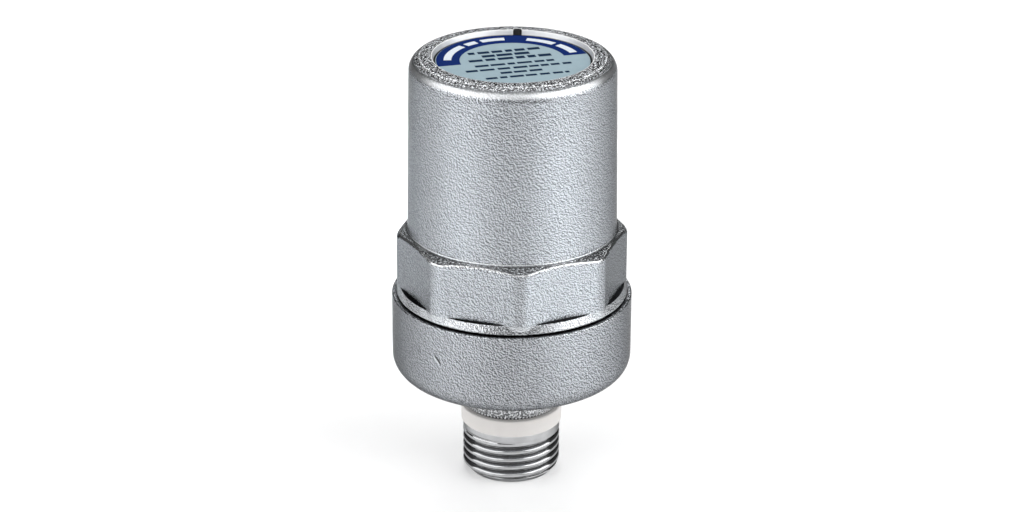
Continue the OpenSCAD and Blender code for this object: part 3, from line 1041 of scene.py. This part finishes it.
def seal_ring():
    """White ring in the groove above the thread."""
    profile = rounded([
        (RING_INNER_R, RING_Z, RING_INNER_EDGE_R),
        (RING_OUTER_R, RING_Z, RING_EDGE_R),
        (RING_OUTER_R, RING_TOP_Z, RING_EDGE_R),
        (RING_INNER_R, RING_TOP_Z, RING_INNER_EDGE_R),
    ], steps=6, longest=0.5, closed=True)
    angles = np.arange(RING_COLUMNS) * TURN / RING_COLUMNS
    grid = spin(profile, angles)
    outer = profile[:, :1] > RING_INNER_R + 0.5
    set_radius(grid, profile[:, :1] + outer * ripple(grid, RING_SEED, *MOULDED), angles)
    faces = grid_faces(len(profile), RING_COLUMNS, closed_rows=True)
    piece = make_piece("seal_ring", grid.reshape(-1, 3), faces, [PTFE])
    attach(piece, "housing")
    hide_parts("thread_seal_ring")


def wire_height(turns):
    """Height of the wire's centre after a number of turns from the lower seat."""
    return np.interp(
        turns,
        [0, 1, SPRING_TURNS - 1, SPRING_TURNS],
        [SPRING_Z, SPRING_Z + CLOSED_PITCH, SPRING_TOP_Z - CLOSED_PITCH, SPRING_TOP_Z],
    )


def wound_spring():
    """Compression spring with closed ends."""
    sides, per_turn = 16, 56
    turns = np.arange(SPRING_TURNS * per_turn + 1) / per_turn
    around = np.arange(sides) * TURN / sides
    r = COIL_R + WIRE_R * np.cos(around)[None, :]
    z = np.clip(wire_height(turns)[:, None] + WIRE_R * np.sin(around)[None, :], SPRING_Z, SPRING_TOP_Z)
    grid = np.stack([r * np.cos(turns * TURN)[:, None], r * np.sin(turns * TURN)[:, None], z], axis=-1)
    faces = grid_faces(len(turns), sides, closed_rows=False)
    top, bottom, last = sides // 4, 3 * sides // 4, (len(turns) - 1) * sides
    for k in range(1, sides - 1):
        faces.append((top, (top + k + 1) % sides, (top + k) % sides))
        faces.append((last + bottom, last + (bottom + k) % sides, last + (bottom + k + 1) % sides))
    piece = make_piece("wound_spring", grid.reshape(-1, 3), faces, [STEEL])
    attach(piece, "housing")
    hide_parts("spring")
    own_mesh(piece)


def label_disc():
    """Round label in the cap's recess."""
    profile = rounded([
        (LABEL_CENTRE_R, LABEL_Z, 0),
        (LABEL_R, LABEL_Z, LABEL_UNDER_R),
        (LABEL_R, LABEL_TOP_Z, LABEL_EDGE_R),
        (LABEL_CENTRE_R, LABEL_TOP_Z, 0),
    ], steps=4, longest=2.5)
    angles = np.arange(LABEL_COLUMNS) * TURN / LABEL_COLUMNS
    vertices, faces = closed_ends(profile, spin(profile, angles))
    piece = make_piece("label_disc", vertices, faces, [FILM])
    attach(piece, "housing")
    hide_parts("label")


# Printed shapes: radii, angles in degrees, and rows of dashes given by height, ends and thickness
PRINT_TURN = 34
BAND_R = (11.0, 15.85)
BLOCK_R = (12.7, 14.3)
BLOCKS = ((6, 30), (35, 62), (82, 104), (109, 121), (126, 166))
DASH_ROWS = (
    (6.0, -8.0, 7.4, 1.45),
    (3.7, -5.6, 5.8, 1.45),
    (1.4, -9.0, 9.0, 1.45),
    (-2.0, -8.6, 8.6, 1.1),
    (-4.6, -11.2, 11.2, 1.1),
    (-7.2, -4.6, 5.2, 1.1),
    (-9.8, -8.4, 9.2, 1.1),
)
DASH_LENGTH = (1.2, 3.4)
DASH_SHORTEST = 0.8
DASH_THICKNESS = (0.85, 1.0)
DASH_GAP = (0.4, 0.75)
PRINT_SEED = 3
NAVY, WHITE, DARK = range(3)


class Print:
    """Flat printed shapes on the label, gathered into one mesh."""

    def __init__(self, turned):
        self.turned = math.radians(turned)
        self.vertices, self.faces, self.inks = [], [], []

    def plate(self, outline, layer, ink):
        """Thin plate with an outline of inner and outer points, side by side."""
        low = LABEL_TOP_Z + (layer - 1) * PRINT_T
        start = len(self.vertices)
        for inner, outer in outline:
            for x, y in (inner, outer):
                for z in (low, low + PRINT_T):
                    c, s = math.cos(self.turned), math.sin(self.turned)
                    self.vertices.append((c * x - s * y, s * x + c * y, z))
        count = len(outline)

        def at(i, side, level):
            return start + 4 * i + 2 * side + level

        faces = [(at(0, 0, 0), at(0, 1, 0), at(0, 1, 1), at(0, 0, 1))]
        for i in range(count - 1):
            k = i + 1
            faces.append((at(i, 0, 1), at(i, 1, 1), at(k, 1, 1), at(k, 0, 1)))
            faces.append((at(i, 0, 0), at(k, 0, 0), at(k, 1, 0), at(i, 1, 0)))
            faces.append((at(i, 1, 0), at(k, 1, 0), at(k, 1, 1), at(i, 1, 1)))
            faces.append((at(i, 0, 0), at(i, 0, 1), at(k, 0, 1), at(k, 0, 0)))
        end = count - 1
        faces.append((at(end, 0, 0), at(end, 0, 1), at(end, 1, 1), at(end, 1, 0)))
        self.faces.extend(faces)
        self.inks.extend([ink] * len(faces))

    def arc(self, inner, outer, start, end, layer, ink):
        """Piece of a ring between two radii and two angles in degrees."""
        steps = max(2, round(abs(end - start) / 2.5))
        outline = []
        for i in range(steps + 1):
            a = math.radians(start + (end - start) * i / steps)
            x, y = math.cos(a), math.sin(a)
            outline.append(((inner * x, inner * y), (outer * x, outer * y)))
        self.plate(outline, layer, ink)

    def bar(self, x, y, length, height, layer, ink):
        """Straight bar from a left end on its middle line."""
        low, high = y - height / 2, y + height / 2
        self.plate([((x + length, low), (x + length, high)), ((x, low), (x, high))], layer, ink)


def label_print():
    """Half ring with blocks on it, and rows of dashes of random length."""
    marks = Print(PRINT_TURN)
    marks.arc(*BAND_R, 0, 180, layer=1, ink=NAVY)
    for start, end in BLOCKS:
        marks.arc(*BLOCK_R, start, end, layer=2, ink=WHITE)
    random = np.random.default_rng(PRINT_SEED)
    for y, left, right, thickness in DASH_ROWS:
        x = left
        while x < right - DASH_SHORTEST:
            length = min(random.uniform(*DASH_LENGTH), right - x)
            marks.bar(x, y, length, thickness * random.uniform(*DASH_THICKNESS), layer=1, ink=DARK)
            x += length + random.uniform(*DASH_GAP)
    inks = [INK_NAVY, INK_WHITE, INK_DARK]
    piece = make_piece("label_print", marks.vertices, marks.faces, inks, marks.inks, flat=True)
    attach(piece, "housing")


lower_body_shell()
cap_shell()
seal_ring()
wound_spring()
label_disc()
label_print()

for node, material in (
    ("piston", ACETAL),
    ("piston_seal_lower", RUBBER),
    ("piston_seal_upper", RUBBER),
    ("body_seal", RUBBER),
):
    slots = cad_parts[node].data.materials
    slots.clear()
    slots.append(material)


# Camera, at the photograph's viewing angle

VIEW_TARGET = Vector((0, 0, 49.22)) * MM
VIEW_DISTANCE = 600 * MM
VIEW_AZIMUTH = math.radians(18.2)
VIEW_ELEVATION = math.radians(23.04)
VIEW_ROLL = math.radians(0.265)
LENS = 99.43
SENSOR_WIDTH = 36
CLIP_START = 0.01

to_right = Vector((math.cos(VIEW_AZIMUTH), math.sin(VIEW_AZIMUTH), 0))
to_camera = Vector((math.sin(VIEW_AZIMUTH), -math.cos(VIEW_AZIMUTH), 0))
UP = Vector((0, 0, 1))
view_back = to_camera * math.cos(VIEW_ELEVATION) + UP * math.sin(VIEW_ELEVATION)
view_up = UP * math.cos(VIEW_ELEVATION) - to_camera * math.sin(VIEW_ELEVATION)
rolled_right = to_right * math.cos(VIEW_ROLL) + view_up * math.sin(VIEW_ROLL)
rolled_up = view_up * math.cos(VIEW_ROLL) - to_right * math.sin(VIEW_ROLL)

lens = bpy.data.cameras.new("camera")
lens.lens = LENS
lens.sensor_width = SENSOR_WIDTH
lens.clip_start = CLIP_START
camera = bpy.data.objects.new("camera", lens)
pose = Matrix((rolled_right, rolled_up, view_back)).transposed().to_4x4()
pose.translation = VIEW_TARGET + view_back * VIEW_DISTANCE
camera.matrix_world = pose
add_to_scene(camera)
bpy.context.scene.camera = camera


# Floor, lamps and surroundings

FLOOR_HALF = 4000
FLOOR_LIFT = 0.12
AIM_Z = 60
BACK_AIM_Z = 40
POOL_COLOUR = (0.91, 0.97, 1.0)
POOL_HEIGHT = 420
POOL_SIZE = 120
POOL_SPREAD = 28
WORLD_LEVEL = 0.08


def floor():
    """White paper, a little brighter where the camera or a reflection sees it."""
    size = FLOOR_HALF * MM
    mesh = bpy.data.meshes.new("floor")
    corners = [(-size, -size, 0), (size, -size, 0), (size, size, 0), (-size, size, 0)]
    mesh.from_pydata(corners, [], [(0, 1, 2, 3)])
    paint = Paint("floor_paper")
    fibre = paint.noise(30.0, detail=3)
    path = paint.add("ShaderNodeLightPath").outputs
    seen = paint.math("MAXIMUM", path["Is Camera Ray"], path["Is Glossy Ray"])
    seen = paint.math("MAXIMUM", seen, path["Is Transmission Ray"])
    mesh.materials.append(paint.finish(
        base_color=paint.mix(fibre, (0.90, 0.90, 0.90), (0.93, 0.93, 0.93)),
        roughness=0.9,
        specular_ior_level=0.1,
        emission_color=(1.0, 1.0, 1.0),
        emission_strength=paint.times(seen, FLOOR_LIFT),
    ))
    sheet = bpy.data.objects.new("floor", mesh)
    add_to_scene(sheet)


def spot(bearing, distance, height):
    """Place of a lamp at a bearing from the camera's side, in degrees, and a distance in millimetres."""
    a = math.radians(bearing)
    return (to_camera * math.cos(a) + to_right * math.sin(a)) * distance * MM + UP * height * MM


def softbox(name, bearing, distance, height, width, tall, level, aim_z=AIM_Z):
    """Area lamp turned to a point on the object's axis, with a brightness level."""
    lamp = bpy.data.lights.new(name, "AREA")
    lamp.shape = "RECTANGLE"
    lamp.size = width * MM
    lamp.size_y = tall * MM
    lamp.energy = level * math.pi * lamp.size * lamp.size_y
    box = bpy.data.objects.new(name, lamp)
    box.location = spot(bearing, distance, height)
    box.rotation_euler = (UP * aim_z * MM - box.location).to_track_quat("-Z", "Y").to_euler()
    box.visible_camera = False
    add_to_scene(box)


def pool(name, bearing, distance, level):
    """Lamp with a narrow beam straight down, for a pool of light on the floor beside the object."""
    lamp = bpy.data.lights.new(name, "AREA")
    lamp.shape = "DISK"
    lamp.size = POOL_SIZE * MM
    lamp.spread = math.radians(POOL_SPREAD)
    lamp.color = POOL_COLOUR
    lamp.energy = level * math.pi * lamp.size**2
    box = bpy.data.objects.new(name, lamp)
    box.location = spot(bearing, distance, POOL_HEIGHT)
    box.visible_camera = False
    add_to_scene(box)


def surroundings(level):
    """Even white light from all round."""
    world = bpy.data.worlds.new("studio")
    world.use_nodes = True
    world.node_tree.nodes["Background"].inputs["Color"].default_value = (1, 1, 1, 1)
    world.node_tree.nodes["Background"].inputs["Strength"].default_value = level
    bpy.context.scene.world = world


floor()
softbox("softbox_left", bearing=-66, distance=800, height=480, width=1300, tall=840, level=1.95)
softbox("softbox_right", bearing=70, distance=800, height=480, width=1050, tall=840, level=2.65)
softbox("softbox_front", bearing=4, distance=950, height=950, width=1500, tall=1100, level=1.0)
softbox("softbox_top", bearing=180, distance=120, height=1100, width=1100, tall=800, level=0.55)
softbox(
    "softbox_back",
    bearing=180,
    distance=850,
    height=720,
    width=800,
    tall=480,
    level=5.0,
    aim_z=BACK_AIM_Z,
)
pool("pool_left", bearing=-55, distance=203, level=2.6)
pool("pool_right", bearing=54, distance=200, level=5.5)
pool("pool_back", bearing=-150, distance=190, level=2.4)
surroundings(WORLD_LEVEL)

bpy.context.scene.view_settings.view_transform = "Standard"
